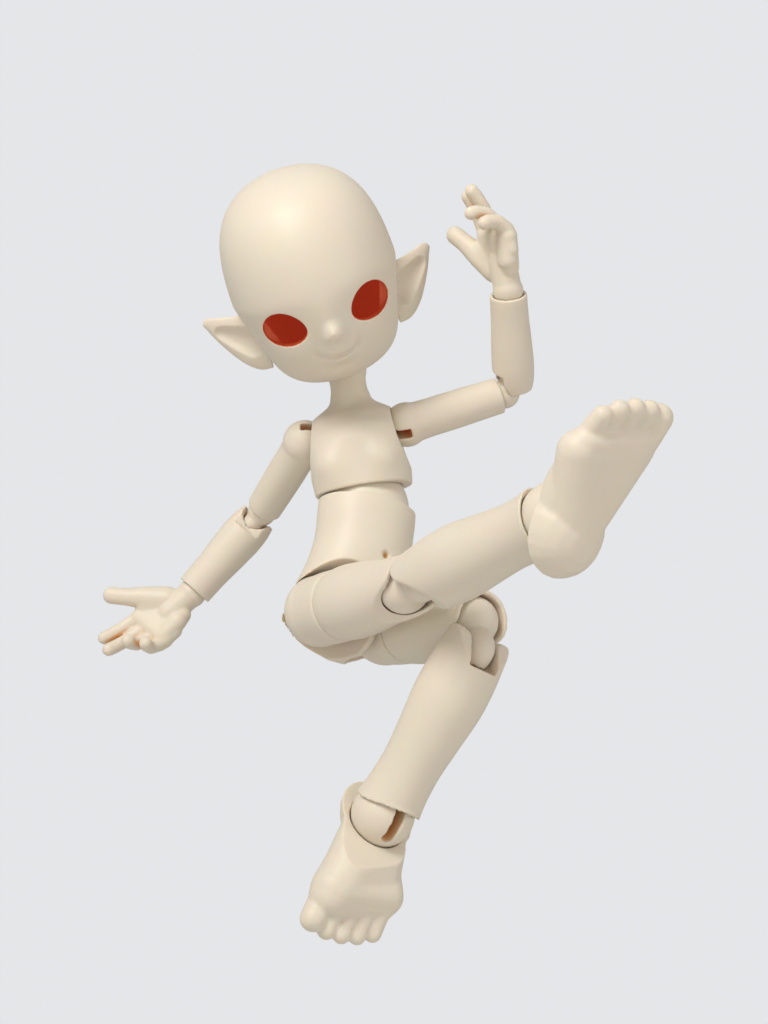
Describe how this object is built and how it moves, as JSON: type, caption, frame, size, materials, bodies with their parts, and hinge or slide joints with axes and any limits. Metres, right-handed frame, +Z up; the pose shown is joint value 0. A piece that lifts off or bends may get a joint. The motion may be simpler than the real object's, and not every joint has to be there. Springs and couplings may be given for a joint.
{
  "type": "ball jointed doll",
  "caption": "Small resin doll with pointed ears and open eye sockets, strung on elastic cord through ball joints in its neck, waist, arms and legs, posed with one leg raised.",
  "frame": {"origin": "midway between the two hip ball centres, inside the pelvis", "axes": "+Z up the pelvis towards the waist ball, -Y out of the belly, +X to the doll's own left"},
  "size_m": [0.0964, 0.2008, 0.2155],
  "materials": {
    "resin": "cast polyurethane resin, sanded matte, cream skin colour, slightly translucent",
    "elastic_cord": "round braided elastic cord, off-white",
    "steel_wire": "bent stainless wire",
    "magnet": "plated neodymium disc"
  },
  "bodies": {
    "pelvis": {"pelvis": "resin", "hip_loop_cord": "elastic_cord"},
    "waist_cord_lower": {"waist_cord_lower": "elastic_cord"},
    "waist_cord_upper": {"waist_cord_upper": "elastic_cord"},
    "chest": {"chest": "resin", "arm_span_cord": "elastic_cord"},
    "neck_cord": {"neck_cord": "elastic_cord"},
    "neck_hook": {"neck_hook": "steel_wire"},
    "head_face": {"head_face": "resin", "ear_left": "resin", "ear_right": "resin", "head_magnet": "magnet"},
    "shoulder_cord_right": {"shoulder_cord_right": "elastic_cord"},
    "upper_arm_right": {"upper_arm_right": "resin"},
    "arm_cord_right": {"arm_cord_right": "elastic_cord"},
    "elbow_right": {"elbow_right": "resin"},
    "forearm_right": {"forearm_right": "resin"},
    "forearm_cord_right": {"forearm_cord_right": "elastic_cord"},
    "hand_hook_right": {"hand_hook_right": "steel_wire"},
    "hand_right": {"hand_right": "resin"},
    "shoulder_cord_left": {"shoulder_cord_left": "elastic_cord"},
    "upper_arm_left": {"upper_arm_left": "resin"},
    "arm_cord_left": {"arm_cord_left": "elastic_cord"},
    "elbow_left": {"elbow_left": "resin"},
    "forearm_left": {"forearm_left": "resin"},
    "forearm_cord_left": {"forearm_cord_left": "elastic_cord"},
    "hand_hook_left": {"hand_hook_left": "steel_wire"},
    "hand_left": {"hand_left": "resin"},
    "hip_cord_right": {"hip_cord_right": "elastic_cord"},
    "thigh_upper_right": {"thigh_upper_right": "resin"},
    "thigh_lower_right": {"thigh_lower_right": "resin", "thigh_cord_right": "elastic_cord"},
    "knee_right": {"knee_right": "resin"},
    "shin_right": {"shin_right": "resin", "shin_cord_right": "elastic_cord"},
    "ankle_right": {"ankle_right": "resin"},
    "foot_hook_right": {"foot_hook_right": "steel_wire"},
    "foot_right": {"foot_right": "resin"},
    "hip_cord_left": {"hip_cord_left": "elastic_cord"},
    "thigh_upper_left": {"thigh_upper_left": "resin"},
    "thigh_lower_left": {"thigh_lower_left": "resin", "thigh_cord_left": "elastic_cord"},
    "knee_left": {"knee_left": "resin"},
    "shin_left": {"shin_left": "resin", "shin_cord_left": "elastic_cord"},
    "ankle_left": {"ankle_left": "resin"},
    "foot_hook_left": {"foot_hook_left": "steel_wire"},
    "foot_left": {"foot_left": "resin"},
    "head_cap": {"head_cap": "resin", "cap_magnet": "magnet"}
  },
  "joints": [
    {"name": "waist_turn", "type": "hinge", "parent": "pelvis", "child": "waist_cord_lower", "pos_m": [0, 0, 0.034], "axis": [0, 0, 1], "range_deg": [-2, 88]},
    {"name": "waist_tilt", "type": "hinge", "parent": "waist_cord_lower", "child": "waist_cord_upper", "pos_m": [0, 0, 0.034], "axis": [0.682, 0.7314, 0], "range_deg": [-0.6, 25.4]},
    {"name": "waist_bend", "type": "hinge", "parent": "waist_cord_upper", "child": "chest", "pos_m": [0, 0, 0.034], "axis": [0.7114, -0.6634, 0.2317], "range_deg": [-22.3, 0.5]},
    {"name": "neck_turn", "type": "hinge", "parent": "chest", "child": "neck_cord", "pos_m": [-0.01306, -0.00006, 0.07392], "axis": [-0.3109, -0.0014, 0.9504], "range_deg": [-64.2, 40.8]},
    {"name": "neck_tilt", "type": "hinge", "parent": "neck_cord", "child": "neck_hook", "pos_m": [-0.01306, -0.00006, 0.07392], "axis": [0.5764, 0.7948, 0.1897], "range_deg": [-4.5, 25.5]},
    {"name": "neck_nod", "type": "hinge", "parent": "neck_hook", "child": "head_face", "pos_m": [-0.01306, -0.00006, 0.07392], "axis": [0.6864, -0.5969, 0.4154], "range_deg": [-33, 0.5]},
    {"name": "shoulder_swing_right", "type": "hinge", "parent": "chest", "child": "shoulder_cord_right", "pos_m": [-0.01787, 0.01005, 0.05205], "axis": [-0.7114, 0.6634, -0.2317], "range_deg": [-7.9, 142.1]},
    {"name": "shoulder_raise_right", "type": "hinge", "parent": "shoulder_cord_right", "child": "upper_arm_right", "pos_m": [-0.01787, 0.01005, 0.05205], "axis": [0.1418, 0.4585, 0.8773], "range_deg": [-13, 70]},
    {"name": "elbow_turn_right", "type": "hinge", "parent": "upper_arm_right", "child": "arm_cord_right", "pos_m": [-0.01466, 0.03698, 0.03746], "axis": [-0.1044, -0.8744, 0.4739], "range_deg": [-55.5, 124.5]},
    {"name": "elbow_fold_right", "type": "hinge", "parent": "arm_cord_right", "child": "elbow_right", "pos_m": [-0.01466, 0.03698, 0.03746], "axis": [-0.7309, 0.3906, 0.5597], "range_deg": [-22.3, 25.7]},
    {"name": "forearm_fold_right", "type": "hinge", "parent": "elbow_right", "child": "forearm_right", "pos_m": [-0.01545, 0.04048, 0.03397], "axis": [-0.7309, 0.3906, 0.5597], "range_deg": [-21.5, 26.5]},
    {"name": "wrist_turn_right", "type": "hinge", "parent": "forearm_right", "child": "forearm_cord_right", "pos_m": [-0.02642, 0.05257, 0.01122], "axis": [0.3915, -0.4318, 0.8126], "range_deg": [-72.1, 107.9]},
    {"name": "wrist_bend_right", "type": "hinge", "parent": "forearm_cord_right", "child": "hand_hook_right", "pos_m": [-0.02642, 0.05257, 0.01122], "axis": [0.5237, -0.6216, -0.5826], "range_deg": [-19.8, 30.2]},
    {"name": "wrist_side_right", "type": "hinge", "parent": "hand_hook_right", "child": "hand_right", "pos_m": [-0.02642, 0.05257, 0.01122], "axis": [0.718, 0.6901, -0.0908], "range_deg": [-25.3, 14.7]},
    {"name": "shoulder_swing_left", "type": "hinge", "parent": "chest", "child": "shoulder_cord_left", "pos_m": [0.00376, -0.01012, 0.0591], "axis": [-0.7114, 0.6634, -0.2317], "range_deg": [-110.2, 39.8]},
    {"name": "shoulder_raise_left", "type": "hinge", "parent": "shoulder_cord_left", "child": "upper_arm_left", "pos_m": [0.00376, -0.01012, 0.0591], "axis": [-0.6423, -0.48, 0.5976], "range_deg": [-80.8, 2.2]},
    {"name": "elbow_turn_left", "type": "hinge", "parent": "upper_arm_left", "child": "arm_cord_left", "pos_m": [0.02723, -0.02496, 0.0724], "axis": [0.7622, -0.4821, 0.432], "range_deg": [-88.5, 91.5]},
    {"name": "elbow_fold_left", "type": "hinge", "parent": "arm_cord_left", "child": "elbow_left", "pos_m": [0.02723, -0.02496, 0.0724], "axis": [-0.0975, -0.7452, -0.6596], "range_deg": [-45.4, 2.6]},
    {"name": "forearm_fold_left", "type": "hinge", "parent": "elbow_left", "child": "forearm_left", "pos_m": [0.02763, -0.0283, 0.07611], "axis": [-0.0975, -0.7452, -0.6596], "range_deg": [-38, 10]},
    {"name": "wrist_turn_left", "type": "hinge", "parent": "forearm_left", "child": "forearm_cord_left", "pos_m": [0.01228, -0.04266, 0.09461], "axis": [-0.5481, -0.513, 0.6606], "range_deg": [-106.1, 73.9]},
    {"name": "wrist_bend_left", "type": "hinge", "parent": "forearm_cord_left", "child": "hand_hook_left", "pos_m": [0.01228, -0.04266, 0.09461], "axis": [-0.1367, 0.8341, 0.5344], "range_deg": [-28.1, 21.9]},
    {"name": "wrist_side_left", "type": "hinge", "parent": "hand_hook_left", "child": "hand_left", "pos_m": [0.01228, -0.04266, 0.09461], "axis": [-0.8536, 0.1745, -0.4908], "range_deg": [-39, 1]},
    {"name": "hip_spread_right", "type": "hinge", "parent": "pelvis", "child": "hip_cord_right", "pos_m": [-0.0113, 0, 0], "axis": [0, 1, 0], "range_deg": [-4, 6.5]},
    {"name": "hip_swing_right", "type": "hinge", "parent": "hip_cord_right", "child": "thigh_upper_right", "pos_m": [-0.0113, 0, 0], "axis": [-0.9954, 0, 0.0958], "range_deg": [-68.3, 11.7]},
    {"name": "thigh_turn_right", "type": "hinge", "parent": "thigh_upper_right", "child": "thigh_lower_right", "pos_m": [-0.01142, -0.04238, -0.00125], "axis": [0.0028, 0.9996, 0.0295], "range_deg": [-38, 22]},
    {"name": "knee_fold_right", "type": "hinge", "parent": "thigh_lower_right", "child": "knee_right", "pos_m": [-0.01142, -0.04238, -0.00125], "axis": [0.9724, 0.0041, -0.2334], "range_deg": [-0.5, 66.5]},
    {"name": "shin_fold_right", "type": "hinge", "parent": "knee_right", "child": "shin_right", "pos_m": [-0.01127, -0.05197, -0.0008], "axis": [0.9724, 0.0041, -0.2334], "range_deg": [-0.5, 60.5]},
    {"name": "ankle_fold_right", "type": "hinge", "parent": "shin_right", "child": "ankle_right", "pos_m": [-0.00956, -0.10226, 0.00543], "axis": [0.9724, 0.0041, -0.2334], "range_deg": [-56, 4]},
    {"name": "foot_turn_right", "type": "hinge", "parent": "ankle_right", "child": "foot_hook_right", "pos_m": [-0.00956, -0.10226, 0.00543], "axis": [0.1261, 0.8321, 0.5401], "range_deg": [-6, 34]},
    {"name": "foot_tilt_right", "type": "hinge", "parent": "foot_hook_right", "child": "foot_right", "pos_m": [-0.00956, -0.10226, 0.00543], "axis": [0.0446, 0.5391, -0.841], "range_deg": [-0.5, 27.5]},
    {"name": "hip_spread_left", "type": "hinge", "parent": "pelvis", "child": "hip_cord_left", "pos_m": [0.0113, 0, 0], "axis": [0, -1, 0], "range_deg": [-2.5, 8]},
    {"name": "hip_swing_left", "type": "hinge", "parent": "hip_cord_left", "child": "thigh_upper_left", "pos_m": [0.0113, 0, 0], "axis": [-0.9976, 0, -0.0698], "range_deg": [-83.5, 16.5]},
    {"name": "thigh_turn_left", "type": "hinge", "parent": "thigh_upper_left", "child": "thigh_lower_left", "pos_m": [0.01163, -0.04213, -0.00479], "axis": [0.0079, -0.9936, -0.1129], "range_deg": [-18.5, 41.5]},
    {"name": "knee_fold_left", "type": "hinge", "parent": "thigh_lower_left", "child": "knee_left", "pos_m": [0.01163, -0.04213, -0.00479], "axis": [0.9914, 0.0226, -0.1292], "range_deg": [-66, 1]},
    {"name": "shin_fold_left", "type": "hinge", "parent": "knee_left", "child": "shin_left", "pos_m": [0.01057, -0.04582, -0.01358], "axis": [0.9914, 0.0226, -0.1292], "range_deg": [-58.5, 2.5]},
    {"name": "ankle_fold_left", "type": "hinge", "parent": "shin_left", "child": "ankle_left", "pos_m": [0.00436, -0.01981, -0.05666], "axis": [0.9914, 0.0226, -0.1292], "range_deg": [-58.7, 1.3]},
    {"name": "foot_turn_left", "type": "hinge", "parent": "ankle_left", "child": "foot_hook_left", "pos_m": [0.00436, -0.01981, -0.05666], "axis": [-0.056, 0.9637, -0.261], "range_deg": [-29.2, 10.8]},
    {"name": "foot_tilt_left", "type": "hinge", "parent": "foot_hook_left", "child": "foot_left", "pos_m": [0.00436, -0.01981, -0.05666], "axis": [-0.2756, -0.2662, -0.9237], "range_deg": [-25.4, 2.6]},
    {"name": "cap_pull", "type": "slide", "parent": "head_face", "child": "head_cap", "axis": [0.4619, 0.799, 0.385], "range_m": [0, 0.02]}
  ]
}
